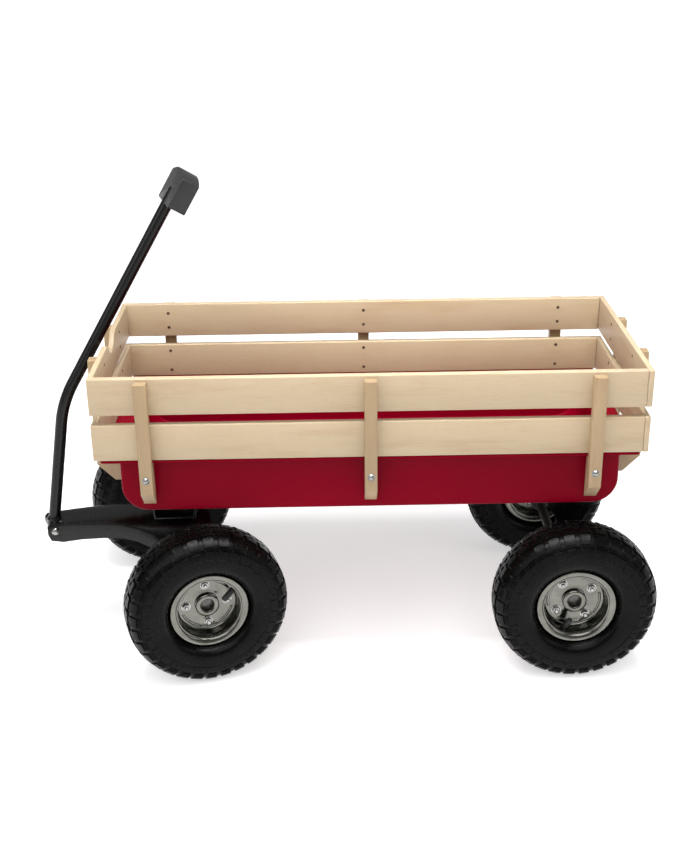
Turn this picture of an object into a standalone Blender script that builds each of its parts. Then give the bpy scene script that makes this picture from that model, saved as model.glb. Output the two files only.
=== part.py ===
"""A child's all-terrain wagon: pressed-steel tray, stake-side rails, steered front axle and pull handle.

Metres, +Z up. The wagon points along -X and stands on z = 0. Its left side is at -Y.
It rests with the front axle steered to the left and the handle leaning back. The origin is on the
ground under the middle of the whole, and the wagon's own frame is under the middle of the wheelbase.
"""

import math

import bmesh
import bpy
from mathutils import Matrix, Vector

GAP = 0.0003
WHEELBASE_MIDDLE_X = 0.0465

# Wheels, 10 inch pneumatic
WHEEL_RADIUS = 0.129
TYRE_HALF_WIDTH = 0.0425
HALF_TRACK = 0.205
FRONT_AXLE_X = -0.320
REAR_AXLE_X = 0.320
AXLE_RADIUS = 0.008
AXLE_BORE = 0.0084
TUBE_WALL = 0.0025
VALVE_BORE = 0.0014
STEER_ANGLE = math.radians(16.3)
VALVE_ANGLES = {"front_left": 28, "front_right": 200, "rear_left": 253, "rear_right": 80}

# Tray
TRAY_HALF_LENGTH = 0.384
TRAY_HALF_WIDTH = 0.1755
TRAY_FLOOR = 0.2816
TRAY_TOP = 0.3725
TRAY_CORNER = 0.040
TRAY_EDGE = 0.005
TRAY_STEEL = 0.0012
TRAY_SIDE_FLANGE = 0.0108
TRAY_END_FLANGE = 0.0253
TRAY_LIP = 0.0035

# Rails
RAIL_TOP = 0.505
SLAT_HEIGHT = 0.058
SLAT_GAP = 0.016
SIDE_SLAT = 0.012
END_SLAT = 0.0087
RAIL_HALF_WIDTH = 0.188
RAIL_FRONT = -0.4205
RAIL_REAR = 0.414
NOTCH_DEPTH = 0.022
NOTCH_RADIUS = 0.034
NOTCH_LIP = 0.018

# Stakes and their bolts
STAKE_WIDTH = 0.019
STAKE_DEPTH = 0.015
SIDE_STAKE_TOP = 0.5005
END_STAKE_TOP = 0.4985
STAKE_SHOULDER = 0.367
STAKE_CHAMFER_TOP = 0.322
STAKE_FOOT = 0.2945
SIDE_STAKE_PITCH = 0.341
END_STAKE_Y = 0.078
BOLT_HEIGHT = 0.3455
BOLT_RADIUS = 0.003
BOLT_HOLE = 0.0033

# Undercarriage
STEEL_PLATE = 0.0035
REAR_LEG_Y = 0.137
KINGPIN_RADIUS = 0.006
KINGPIN_HOLE = 0.0063
YOKE_TOP = 0.207
YOKE_STEEL = 0.003
TURNTABLE_RADIUS = 0.040
TURNTABLE_THICKNESS = 0.005
BOLSTER_HALF_LENGTH = 0.070
YOKE_LEG = 0.068

# Handle
PIVOT_REACH = 0.211
PIVOT_HEIGHT = 0.201
PIVOT_RADIUS = 0.005
PIVOT_HOLE = 0.0053
TUBE_RADIUS = 0.0095
TUBE_STEEL = 0.0016
BEND_REACH = 0.1757
BEND_HEIGHT = 0.4154
BEND_RADIUS = 0.180
TUBE_END_REACH = -0.0265
TUBE_END_HEIGHT = 0.7436
GRIP_WIDTH = 0.086
GRIP_LENGTH = 0.0487
GRIP_ARCH = 0.010
GRIP_THICKNESS = 0.0287
GRIP_SETBACK = 0.007
GRIP_SOCKET = 0.026


def clear_scene():
    for item in list(bpy.data.objects):
        bpy.data.objects.remove(item, do_unlink=True)


def new_collection(name):
    collection = bpy.data.collections.new(name)
    bpy.context.scene.collection.children.link(collection)
    return collection


def new_material(name, colour, roughness, metallic=0.0):
    material = bpy.data.materials.new(name)
    material.use_nodes = True
    shader = material.node_tree.nodes["Principled BSDF"]
    shader.inputs["Base Color"].default_value = (*colour, 1.0)
    shader.inputs["Roughness"].default_value = roughness
    shader.inputs["Metallic"].default_value = metallic
    material.diffuse_color = (*colour, 1.0)
    return material


clear_scene()
wagon = new_collection("wagon_with_pull_handle")
cutters = new_collection("cutters")
cutters.hide_render = True

red_paint = new_material("red_paint", (0.165, 0.002, 0.010), 0.28, 0.3)
black_paint = new_material("black_paint", (0.012, 0.012, 0.012), 0.35, 0.4)
birch = new_material("birch", (0.56, 0.44, 0.27), 0.55)
zinc = new_material("zinc", (0.50, 0.50, 0.44), 0.30, 1.0)
chrome = new_material("chrome", (0.62, 0.62, 0.62), 0.15, 1.0)
steel = new_material("steel", (0.35, 0.35, 0.34), 0.35, 1.0)
tyre_rubber = new_material("tyre_rubber", (0.020, 0.019, 0.020), 0.75)
tube_rubber = new_material("tube_rubber", (0.012, 0.012, 0.012), 0.60)
grip_plastic = new_material("grip_plastic", (0.014, 0.014, 0.014), 0.45)
nylon = new_material("nylon", (0.60, 0.60, 0.56), 0.50)

wagon_frame = bpy.data.objects.new("wagon_frame", None)
wagon_frame.location = (WHEELBASE_MIDDLE_X, 0, 0)
wagon.objects.link(wagon_frame)


def new_frame(name, location, turn=(0.0, 0.0, 0.0), parent=None):
    """An empty that carries a moving body, on that body's joint axis."""
    frame = bpy.data.objects.new(name, None)
    frame.location = location
    frame.rotation_euler = turn
    frame.parent = parent or wagon_frame
    wagon.objects.link(frame)
    return frame


def place(name, mesh, material, location=(0, 0, 0), turn=(0, 0, 0), parent=None, collection=wagon):
    piece = bpy.data.objects.new(name, mesh)
    piece.location = location
    piece.rotation_euler = turn
    piece.parent = parent or wagon_frame
    if material:
        mesh.materials.append(material)
    collection.objects.link(piece)
    if collection is cutters:
        piece.display_type = "WIRE"
    return piece


def smooth(piece, degrees=40):
    mesh = piece.data
    mesh.shade_smooth()
    mesh.set_sharp_from_angle(angle=math.radians(degrees))


def finish_mesh(name, shape):
    bmesh.ops.recalc_face_normals(shape, faces=shape.faces)
    mesh = bpy.data.meshes.new(name)
    shape.to_mesh(mesh)
    shape.free()
    return mesh


def box_mesh(name, size):
    shape = bmesh.new()
    bmesh.ops.create_cube(shape, size=1.0, matrix=Matrix.Diagonal((*size, 1.0)))
    return finish_mesh(name, shape)


def rod_mesh(name, radius, length, sides=16):
    shape = bmesh.new()
    bmesh.ops.create_cone(
        shape, cap_ends=True, segments=sides, radius1=radius, radius2=radius, depth=length
    )
    return finish_mesh(name, shape)


def bevel_edges(piece, width, segments=1):
    bevel = piece.modifiers.new("rounded_edges", "BEVEL")
    bevel.width = width
    bevel.segments = segments
    bevel.limit_method = "ANGLE"
    bevel.angle_limit = math.radians(30)
    return bevel


def cut(piece, cutter, operation="DIFFERENCE"):
    boolean = piece.modifiers.new(cutter.name, "BOOLEAN")
    boolean.operation = operation
    boolean.solver = "EXACT"
    boolean.object = cutter
    return boolean


def turned(name, profile, material, steps, parent=None, location=(0, 0, 0), turn=(0, 0, 0)):
    """A profile of (radius, height) points, run down its outer side and turned about local Z."""
    shape = bmesh.new()
    points = [shape.verts.new((radius, 0.0, height)) for radius, height in profile]
    closed = profile[0][0] > 0 and profile[-1][0] > 0
    for start, end in zip(points, points[1:] + points[:1] if closed else points[1:]):
        shape.edges.new((start, end))
    mesh = bpy.data.meshes.new(name)
    shape.to_mesh(mesh)
    shape.free()
    piece = place(name, mesh, material, location, turn, parent)
    screw = piece.modifiers.new("turned", "SCREW")
    screw.steps = steps
    screw.render_steps = steps
    screw.use_merge_vertices = True
    screw.merge_threshold = 0.00001
    screw.use_smooth_shade = True
    screw.use_normal_calculate = False
    return piece


def plate(name, outline, thickness, material, location, turn, parent=None, collection=wagon):
    """A flat outline, filled and given a thickness, then kept as a mesh so that it can be cut."""
    curve = bpy.data.curves.new(name, "CURVE")
    curve.dimensions = "2D"
    curve.fill_mode = "BOTH"
    curve.extrude = thickness / 2
    spline = curve.splines.new("POLY")
    spline.points.add(len(outline) - 1)
    for point, (x, y) in zip(spline.points, outline):
        point.co = (x, y, 0.0, 1.0)
    spline.use_cyclic_u = True
    drawn = bpy.data.objects.new(name + "_outline", curve)
    cutters.objects.link(drawn)
    graph = bpy.context.evaluated_depsgraph_get()
    mesh = bpy.data.meshes.new_from_object(drawn.evaluated_get(graph))
    bpy.data.objects.remove(drawn, do_unlink=True)
    shape = bmesh.new()
    shape.from_mesh(mesh)
    bmesh.ops.remove_doubles(shape, verts=shape.verts, dist=0.00001)
    bpy.data.meshes.remove(mesh)
    mesh = finish_mesh(name, shape)
    mesh.materials.clear()
    return place(name, mesh, material, location, turn, parent, collection)


def arc(centre, radius, start, end, steps):
    """Points on an arc from one angle to another, in degrees."""
    turns = [math.radians(start + (end - start) * i / steps) for i in range(steps + 1)]
    return [(centre[0] + radius * math.cos(t), centre[1] + radius * math.sin(t)) for t in turns]


ALONG_X = (math.pi / 2, 0.0, math.pi / 2)  # a plate drawn in Y and Z, with its thickness along X
ALONG_Y = (math.pi / 2, 0.0, 0.0)  # a plate drawn in X and Z, with its thickness along Y


# Tray: one pressed sheet with large lower corners. Its flange turns out under the slats, with a lip.
def make_tray():
    under_flange = TRAY_TOP - TRAY_STEEL
    height = under_flange - TRAY_FLOOR
    shape = bmesh.new()
    size = Matrix.Diagonal((2 * TRAY_HALF_LENGTH, 2 * TRAY_HALF_WIDTH, height, 1.0))
    centre = Matrix.Translation((0, 0, TRAY_FLOOR + height / 2))
    bmesh.ops.create_cube(shape, size=1.0, matrix=centre @ size)
    low_ends = [
        e
        for e in shape.edges
        if all(v.co.z < TRAY_FLOOR + 0.001 for v in e.verts)
        and abs(e.verts[0].co.x - e.verts[1].co.x) < 0.001
    ]
    bmesh.ops.bevel(
        shape, geom=low_ends, offset=TRAY_CORNER, segments=6, profile=0.5, affect="EDGES"
    )
    outline = [
        e
        for e in shape.edges
        if abs(e.verts[0].co.y - e.verts[1].co.y) < 0.001
        and not all(v.co.z > under_flange - 0.001 for v in e.verts)
        and e.calc_face_angle(0) > 1.0
    ]
    bmesh.ops.bevel(
        shape, geom=outline, offset=TRAY_EDGE, segments=3, profile=0.5, affect="EDGES"
    )
    top = [f for f in shape.faces if f.normal.z > 0.9 and f.calc_center_median().z > under_flange - 0.001]
    bmesh.ops.delete(shape, geom=top, context="FACES")
    edge = [e for e in shape.edges if e.is_boundary]
    for out_x, out_y, down in ((TRAY_END_FLANGE, TRAY_SIDE_FLANGE, 0.0), (0.0, 0.0, TRAY_LIP)):
        grown = bmesh.ops.extrude_edge_only(shape, edges=edge)["geom"]
        for vertex in (g for g in grown if isinstance(g, bmesh.types.BMVert)):
            vertex.co.x += math.copysign(out_x, vertex.co.x)
            vertex.co.y += math.copysign(out_y, vertex.co.y)
            vertex.co.z -= down
        edge = [g for g in grown if isinstance(g, bmesh.types.BMEdge) and g.is_boundary]
    tray = place("tray", finish_mesh("tray", shape), red_paint)
    wall = tray.modifiers.new("sheet_steel", "SOLIDIFY")
    wall.thickness = TRAY_STEEL
    wall.offset = 1
    wall.use_even_offset = True
    smooth(tray)
    return tray


# Rails: each side is two slats, the upper one flush with the rail's top.
def slat_centres():
    upper = RAIL_TOP - SLAT_HEIGHT / 2
    return {"upper": upper, "lower": upper - SLAT_HEIGHT - SLAT_GAP}


def make_side_slats():
    length = RAIL_REAR - RAIL_FRONT
    for side, sign in (("left", -1), ("right", 1)):
        for level, height in slat_centres().items():
            mesh = box_mesh("slat", (length, SIDE_SLAT, SLAT_HEIGHT))
            name = f"{side}_{level}_slat"
            y = sign * (RAIL_HALF_WIDTH - SIDE_SLAT / 2)
            slat = place(name, mesh, birch, ((RAIL_REAR + RAIL_FRONT) / 2, y, height))
            bevel_edges(slat, 0.0008)


def make_end_slats():
    inner_half = RAIL_HALF_WIDTH - SIDE_SLAT - GAP
    front_x = RAIL_FRONT + END_SLAT / 2
    rear_x = RAIL_REAR + GAP + END_SLAT / 2
    heights = slat_centres()
    low = place("front_lower_slat", box_mesh("slat", (END_SLAT, 2 * inner_half, SLAT_HEIGHT)), birch)
    low.location = (front_x, 0, heights["lower"])
    bevel_edges(low, 0.0008)
    for level, height in heights.items():
        mesh = box_mesh("slat", (END_SLAT, 2 * RAIL_HALF_WIDTH, SLAT_HEIGHT))
        slat = place(f"rear_{level}_slat", mesh, birch, (rear_x, 0, height))
        bevel_edges(slat, 0.002)
    bottom_centre = SLAT_HEIGHT / 2 - NOTCH_DEPTH + NOTCH_RADIUS
    lip_centre = SLAT_HEIGHT / 2 - NOTCH_LIP
    rise = bottom_centre - lip_centre
    reach = math.sqrt((NOTCH_RADIUS + NOTCH_LIP) ** 2 - rise**2)
    turn = math.degrees(math.atan2(rise, reach))
    half = SLAT_HEIGHT / 2
    outline = [(-inner_half, -half), (inner_half, -half), (inner_half, half)]
    outline += arc((reach, lip_centre), NOTCH_LIP, 90, 180 - turn, 5)
    outline += arc((0, bottom_centre), NOTCH_RADIUS, -turn, turn - 180, 8)[1:-1]
    outline += arc((-reach, lip_centre), NOTCH_LIP, turn, 90, 5)
    outline.append((-inner_half, half))
    place_at = (front_x, 0, heights["upper"])
    plate("front_upper_slat", outline, END_SLAT, birch, place_at, ALONG_X)


# Stakes: a post outside the slats that steps in below them to the tray wall, its foot cut at 45 degrees.
def stake_outline(outer, slat_face, wall, top):
    foot = outer - (STAKE_CHAMFER_TOP - STAKE_FOOT)
    outline = [(outer, STAKE_CHAMFER_TOP), (outer, top), (slat_face, top)]
    outline += [(slat_face, STAKE_SHOULDER), (wall, STAKE_SHOULDER), (wall, STAKE_FOOT)]
    if foot > wall + 0.0005:
        outline.append((foot, STAKE_FOOT))
    return outline


def drill(pieces, name, start, end, radius, sides=16, parent=None):
    """Cuts a round hole through the pieces, from one point to another."""
    line = Vector(end) - Vector(start)
    mesh = rod_mesh(name, radius, line.length, sides)
    cutter = place(name, mesh, None, parent=parent, collection=cutters)
    cutter.location = (Vector(start) + Vector(end)) / 2
    cutter.rotation_euler = line.to_track_quat("Z", "Y").to_euler()
    for piece in pieces:
        cut(piece, cutter)
    return cutter


def make_bolt(name, point, outward, length):
    """A domed bolt through a stake and the tray wall, with its nut inside the tray."""
    seat = TRAY_STEEL + GAP
    dome = [(0.0, 0.0033), (0.0036, 0.0025), (0.0055, GAP)]
    shank = [(BOLT_RADIUS, GAP), (BOLT_RADIUS, -length - seat)]
    nut = [(0.0055, -length - seat), (0.0055, -length - seat - 0.005)]
    tip = [(BOLT_RADIUS, nut[1][1]), (BOLT_RADIUS, -length - 0.010), (0.0, -length - 0.010)]
    bolt = turned(name, dome + shank + nut + tip, chrome, 10)
    bolt.location = point
    bolt.rotation_euler = Vector(outward).to_track_quat("Z", "Y").to_euler()


def make_stakes(tray):
    side_outer = RAIL_HALF_WIDTH + GAP + STAKE_DEPTH
    slat_face = RAIL_HALF_WIDTH + GAP
    side_outline = stake_outline(side_outer, slat_face, TRAY_HALF_WIDTH + GAP, SIDE_STAKE_TOP)
    side_wall = side_outer - TRAY_HALF_WIDTH
    for side, sign in (("left", -1), ("right", 1)):
        for station, x in (("front", -SIDE_STAKE_PITCH), ("middle", 0.0), ("rear", SIDE_STAKE_PITCH)):
            outline = [(sign * y, z) for y, z in side_outline]
            name = f"{side}_{station}_stake"
            stake = plate(name, outline, STAKE_WIDTH, birch, (x, 0, 0), ALONG_X)
            outer = (x, sign * (side_outer + 0.005), BOLT_HEIGHT)
            inner = (x, sign * (TRAY_HALF_WIDTH - 0.006), BOLT_HEIGHT)
            drill([stake, tray], name + "_hole", outer, inner, BOLT_HOLE, 12)
            make_bolt(name + "_bolt", (x, sign * side_outer, BOLT_HEIGHT), (0, sign, 0), side_wall)
    for end, sign, face in (("front", -1, -RAIL_FRONT), ("rear", 1, RAIL_REAR + GAP + END_SLAT)):
        outer_x = face + GAP + STAKE_DEPTH
        end_outline = stake_outline(outer_x, face + GAP, TRAY_HALF_LENGTH + GAP, END_STAKE_TOP)
        for side, y in (("left", -END_STAKE_Y), ("right", END_STAKE_Y)):
            outline = [(sign * x, z) for x, z in end_outline]
            name = f"{end}_{side}_stake"
            stake = plate(name, outline, STAKE_WIDTH, birch, (0, y, 0), ALONG_Y)
            outer = (sign * (outer_x + 0.005), y, BOLT_HEIGHT)
            inner = (sign * (TRAY_HALF_LENGTH - 0.006), y, BOLT_HEIGHT)
            drill([stake, tray], name + "_hole", outer, inner, BOLT_HOLE, 12)
            wall = outer_x - TRAY_HALF_LENGTH
            make_bolt(name + "_bolt", (sign * outer_x, y, BOLT_HEIGHT), (sign, 0, 0), wall)


# Undercarriage: a rear bracket with two legs, and a front bolster that the yoke turns under.
def make_rear_bracket():
    top = TRAY_FLOOR - GAP
    outline = [(0.045, top), (-0.045, top), (-0.045, top - 0.006), (-0.022, 0.236), (-0.016, 0.150)]
    outline += arc((0, WHEEL_RADIUS), 0.016, 180, 360, 8)
    outline += [(0.016, 0.150), (0.022, 0.236), (0.045, top - 0.006)]
    place_at = (REAR_AXLE_X, 0, 0)
    bracket = plate("rear_axle_bracket", outline, 2 * REAR_LEG_Y, black_paint, place_at, ALONG_Y)
    inside = box_mesh("hollow", (0.2, 2 * (REAR_LEG_Y - STEEL_PLATE), 0.3))
    hollow = place("rear_bracket_hollow", inside, None, collection=cutters)
    hollow.location = (REAR_AXLE_X, 0, top - STEEL_PLATE - 0.15)
    cut(bracket, hollow)
    left = (REAR_AXLE_X, -REAR_LEG_Y - 0.01, WHEEL_RADIUS)
    right = (REAR_AXLE_X, REAR_LEG_Y + 0.01, WHEEL_RADIUS)
    drill([bracket], "rear_axle_hole", left, right, AXLE_BORE)


def make_bolster():
    top = TRAY_FLOOR - GAP
    bottom = YOKE_TOP + 2 * GAP + TURNTABLE_THICKNESS
    fold = top - STEEL_PLATE - 0.001
    outline = [(0.055, top), (-0.055, top), (-0.055, top - STEEL_PLATE), (-0.040, fold)]
    outline += [(-0.034, bottom), (0.034, bottom), (0.040, fold), (0.055, top - STEEL_PLATE)]
    place_at = (FRONT_AXLE_X, 0, 0)
    bolster = plate("front_bolster", outline, 2 * BOLSTER_HALF_LENGTH, black_paint, place_at, ALONG_Y)
    inner_top = top - STEEL_PLATE
    inner_bottom = bottom + STEEL_PLATE
    inner = [(0.0360, inner_top), (-0.0360, inner_top), (-0.0305, inner_bottom), (0.0305, inner_bottom)]
    hollow = plate("bolster_hollow", inner, 0.2, None, place_at, ALONG_Y, collection=cutters)
    cut(bolster, hollow)
    below = (FRONT_AXLE_X, 0, bottom - 0.01)
    above = (FRONT_AXLE_X, 0, inner_bottom + 0.01)
    drill([bolster], "bolster_kingpin_hole", below, above, KINGPIN_HOLE)
    return inner_bottom


def make_kingpin(seat):
    """The bolt that the front axle steers on: head inside the bolster, nut under the yoke."""
    under = YOKE_TOP - YOKE_STEEL - GAP
    head = [(0.0, 0.008), (0.011, 0.008), (0.011, GAP)]
    shank = [(KINGPIN_RADIUS, GAP), (KINGPIN_RADIUS, under - seat)]
    nut = [(0.010, under - seat), (0.010, under - seat - 0.010), (0.0, under - seat - 0.010)]
    turned("kingpin", head + shank + nut, steel, 16, location=(FRONT_AXLE_X, 0, seat))


# Steering body: yoke, turntable plate and front axle, in a frame whose +X runs back from the handle.
# Each station of the yoke is its reach ahead of the kingpin, then half width, plateau half width,
# plateau height, shoulder height and lower edge.
YOKE_STATIONS = (
    (0.2235, 0.0265, 0.020, 0.2080, 0.2070, 0.1960),
    (0.2190, 0.0270, 0.021, 0.2125, 0.2115, 0.1850),
    (0.2000, 0.0270, 0.021, 0.2130, 0.2120, 0.1795),
    (0.1700, 0.0300, 0.023, 0.2120, 0.2105, 0.1810),
    (0.1340, 0.0350, 0.026, 0.2100, 0.2075, 0.1800),
    (0.1040, 0.0400, 0.028, 0.2085, 0.2030, 0.1765),
    (0.0800, 0.0460, 0.031, YOKE_TOP, 0.1960, 0.1690),
    (0.0570, 0.0540, 0.036, YOKE_TOP, 0.1860, 0.1560),
    (0.0380, 0.0620, 0.042, YOKE_TOP, 0.1740, 0.1360),
    (0.0180, 0.0680, 0.046, YOKE_TOP, 0.1640, 0.1150),
    (0.0000, 0.0680, 0.047, YOKE_TOP, 0.1600, 0.1090),
    (-0.0180, 0.0680, 0.047, YOKE_TOP, 0.1640, 0.1150),
    (-0.0420, 0.0670, 0.046, YOKE_TOP, 0.1760, 0.1500),
)


def yoke_section(reach, half_width, plateau, top, shoulder, low):
    """Half of an upside-down channel, from the middle of its top to its lower edge."""
    mid = (half_width + plateau) / 2
    return [
        (-reach, 0.0, top),
        (-reach, plateau * 0.6, top),
        (-reach, plateau, top - (top - shoulder) * 0.10),
        (-reach, mid, top - (top - shoulder) * 0.45),
        (-reach, half_width - 0.001, shoulder),
        (-reach, half_width, shoulder - 0.004),
        (-reach, half_width, (shoulder + low) / 2),
        (-reach, half_width, low),
    ]


def make_yoke(steering):
    shape = bmesh.new()
    rows = []
    for station in YOKE_STATIONS:
        half = yoke_section(*station)
        left = [(x, -y, z) for x, y, z in reversed(half[1:])]
        rows.append([shape.verts.new(point) for point in left + half])
    for row, following in zip(rows, rows[1:]):
        for i in range(len(row) - 1):
            shape.faces.new((row[i], row[i + 1], following[i + 1], following[i]))
    for vertex in shape.verts:
        vertex.co.z -= WHEEL_RADIUS
    yoke = place("steering_yoke", finish_mesh("steering_yoke", shape), black_paint, parent=steering)
    sheet = yoke.modifiers.new("sheet_steel", "SOLIDIFY")
    sheet.thickness = YOKE_STEEL
    sheet.offset = -1
    sheet.use_even_offset = True
    smooth(yoke)
    opening = box_mesh("mouth", (0.040, 0.041, 0.060))
    mouth = place("yoke_mouth", opening, None, parent=steering, collection=cutters)
    mouth.location = (-PIVOT_REACH - 0.007, 0, PIVOT_HEIGHT + 0.018 - WHEEL_RADIUS)
    cut(yoke, mouth)
    level = PIVOT_HEIGHT - WHEEL_RADIUS
    left = (-PIVOT_REACH, -0.04, level)
    right = (-PIVOT_REACH, 0.04, level)
    drill([yoke], "yoke_pivot_hole", left, right, PIVOT_HOLE, 16, steering)
    drill([yoke], "yoke_kingpin_hole", (0, 0, 0.06), (0, 0, 0.10), KINGPIN_HOLE, 16, steering)
    drill([yoke], "yoke_axle_hole", (0, -0.09, 0), (0, 0.09, 0), AXLE_BORE, 16, steering)


def make_turntable(steering):
    base = YOKE_TOP + GAP - WHEEL_RADIUS
    top = base + TURNTABLE_THICKNESS
    profile = [(KINGPIN_HOLE, top), (TURNTABLE_RADIUS, top)]
    profile += [(TURNTABLE_RADIUS, base), (KINGPIN_HOLE, base)]
    turned("turntable_plate", profile, nylon, 24, steering)


def make_axle(name, leg, parent, location):
    """A plain rod with a collar outside each leg and a push nut inside each hub's mouth."""
    collar_start = leg + 0.0008
    collar_end = HALF_TRACK - 0.046
    tip = HALF_TRACK + 0.0035
    end = [(0.0, tip), (0.0112, tip), (0.0112, tip - 0.003), (AXLE_RADIUS, tip - 0.003)]
    collar = [(AXLE_RADIUS, collar_end), (0.0120, collar_end)]
    collar += [(0.0120, collar_start), (AXLE_RADIUS, collar_start)]
    half = end + collar
    profile = half + [(radius, -height) for radius, height in reversed(half)]
    turned(name, profile, steel, 16, parent, location, (math.pi / 2, 0, 0))


# Wheels: local +Z points out of the wagon. The rim is two bolted halves around the hub.
TYRE_PROFILE = (
    (0.1290, 0.0140), (0.1290, -0.0140), (0.1255, -0.0300), (0.1135, -0.0400), (0.0960, -0.0425),
    (0.0720, -0.0390), (0.0645, -0.0240), (0.0545, -0.0224), (0.0545, -0.0140), (0.0760, -0.0320),
    (0.1060, -0.0350), (0.1205, 0.0), (0.1060, 0.0350), (0.0760, 0.0320), (0.0545, 0.0140),
    (0.0545, 0.0224), (0.0645, 0.0240), (0.0720, 0.0390), (0.0960, 0.0425), (0.1135, 0.0400),
    (0.1255, 0.0300),
)
TUBE_PROFILE = (
    (0.1185, 0.0), (0.1050, -0.0320), (0.0760, -0.0295), (0.0538, -0.0100),
    (0.0538, 0.0100), (0.0760, 0.0295), (0.1050, 0.0320),
)
RIM_PROFILE = (
    (0.0612, 0.0290), (0.0628, 0.0262), (0.0535, 0.0232), (0.0500, 0.0130), (0.0500, GAP / 2),
    (0.0180, GAP / 2), (0.0180, 0.0025), (0.0475, 0.0028), (0.0475, 0.0135), (0.0510, 0.0250),
)
HUB_PROFILE = (
    (0.0120, 0.0080), (0.0175, 0.0080), (0.0175, -0.0430), (AXLE_BORE, -0.0430),
    (AXLE_BORE, -0.0005), (0.0120, -0.0005),
)


def make_wheel(corner, frame, outward):
    """outward is -1 for a wheel on the left, whose outer face points to -Y."""
    turn = (math.pi / 2, 0, 0) if outward < 0 else (-math.pi / 2, 0, 0)
    name = f"{corner}_"
    turned(name + "tyre", TYRE_PROFILE, tyre_rubber, 32, frame, turn=turn)
    tube = turned(name + "inner_tube", TUBE_PROFILE, tube_rubber, 20, frame, turn=turn)
    outer = turned(name + "rim_outer", RIM_PROFILE, zinc, 24, frame, turn=turn)
    mirrored = [(radius, -height) for radius, height in reversed(RIM_PROFILE)]
    turned(name + "rim_inner", mirrored, zinc, 24, frame, turn=turn)
    turned(name + "hub", HUB_PROFILE, zinc, 20, frame, turn=turn)
    angle = math.radians(VALVE_ANGLES[corner])
    across = Vector((math.cos(angle), 0, math.sin(angle)))
    out = Vector((0, outward, 0))
    root = across * 0.058 + out * 0.006
    tip = across * 0.029 + out * 0.022
    drill([outer], name + "valve_hole", root, tip, 0.0048, 12, frame)
    line = tip - root
    stem = rod_mesh("valve", 0.0042, line.length, 12)
    turn = line.to_track_quat("Z", "Y").to_euler()
    valve = place(name + "valve", stem, None, (root + tip) / 2, turn, frame, cutters)
    wall = tube.modifiers.new("rubber_wall", "SOLIDIFY")
    wall.thickness = TUBE_WALL
    wall.offset = -1
    cut(tube, valve, "UNION")
    inner = root + across * 0.01
    drill([tube], name + "valve_bore", inner, tip - across * 0.01, VALVE_BORE, 8, frame)


# Handle: one bent tube on a cross sleeve, with a moulded grip on its end.
def tube_path():
    """The tube's centre line from the pivot to its end, as (reach, height) with an arc at the bend."""
    foot = Vector((PIVOT_REACH, PIVOT_HEIGHT))
    corner = Vector((BEND_REACH, BEND_HEIGHT))
    end = Vector((TUBE_END_REACH, TUBE_END_HEIGHT))
    along = (corner - foot).normalized()
    on = (end - corner).normalized()
    turn = math.acos(along.dot(on))
    tangent = BEND_RADIUS * math.tan(turn / 2)
    start = corner - along * tangent
    side = Vector((-along.y, along.x))
    if side.dot(on) < 0:
        side = -side
    points = [foot]
    for i in range(9):
        step = turn * i / 8
        ahead = along * BEND_RADIUS * math.sin(step)
        points.append(start + ahead + side * BEND_RADIUS * (1 - math.cos(step)))
    points.append(end)
    return points, on


def make_handle(handle):
    path, on = tube_path()
    local = [(-(p.x - PIVOT_REACH), 0.0, p.y - PIVOT_HEIGHT) for p in path]
    curve = bpy.data.curves.new("handle_tube", "CURVE")
    curve.dimensions = "3D"
    curve.bevel_depth = TUBE_RADIUS
    curve.bevel_resolution = 3
    spline = curve.splines.new("POLY")
    spline.points.add(len(local) - 1)
    for point, place_at in zip(spline.points, local):
        point.co = (*place_at, 1.0)
    drawn = bpy.data.objects.new("handle_path", curve)
    cutters.objects.link(drawn)
    graph = bpy.context.evaluated_depsgraph_get()
    mesh = bpy.data.meshes.new_from_object(drawn.evaluated_get(graph))
    bpy.data.objects.remove(drawn, do_unlink=True)
    shape = bmesh.new()
    shape.from_mesh(mesh)
    bmesh.ops.remove_doubles(shape, verts=shape.verts, dist=0.00001)
    bpy.data.meshes.remove(mesh)
    tube = place("handle_tube", finish_mesh("handle_tube", shape), black_paint, parent=handle)
    wall = tube.modifiers.new("tube_wall", "SOLIDIFY")
    wall.thickness = TUBE_STEEL
    wall.offset = -1
    cross = rod_mesh("sleeve", 0.0112, 0.0400, 20)
    sleeve = place("handle_sleeve", cross, None, parent=handle, collection=cutters)
    sleeve.rotation_euler = (math.pi / 2, 0, 0)
    cut(tube, sleeve, "UNION")
    drill([tube], "sleeve_bore", (0, -0.03, 0), (0, 0.03, 0), PIVOT_HOLE, 16, handle)
    smooth(tube)

    half = GRIP_WIDTH / 2
    corner = 0.003
    outline = arc((half - corner, corner), corner, -90, 0, 2)
    for i in range(13):
        across = half - 2 * half * i / 12
        outline.append((across, GRIP_LENGTH + GRIP_ARCH * (1 - (across / half) ** 2)))
    outline += arc((corner - half, corner), corner, 180, 270, 2)
    lean = math.atan2(-on.x, on.y)
    end = Vector((-(TUBE_END_REACH - PIVOT_REACH), 0.0, TUBE_END_HEIGHT - PIVOT_HEIGHT))
    along = Vector((-on.x, 0.0, on.y))
    back = Vector((on.y, 0.0, on.x))
    base = end - along * (GRIP_SOCKET - GAP)
    upright = Matrix.Rotation(math.pi / 2, 3, "Z") @ Matrix.Rotation(math.pi / 2, 3, "X")
    turn = (Matrix.Rotation(lean, 3, "Y") @ upright).to_euler()
    place_at = base + back * GRIP_SETBACK
    grip = plate("handle_grip", outline, GRIP_THICKNESS, grip_plastic, place_at, turn, handle)
    bevel_edges(grip, 0.0015, 2)
    drill([grip], "grip_socket", base - along * 0.01, end + along * GAP, TUBE_RADIUS + GAP, 20, handle)
    smooth(grip)


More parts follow.
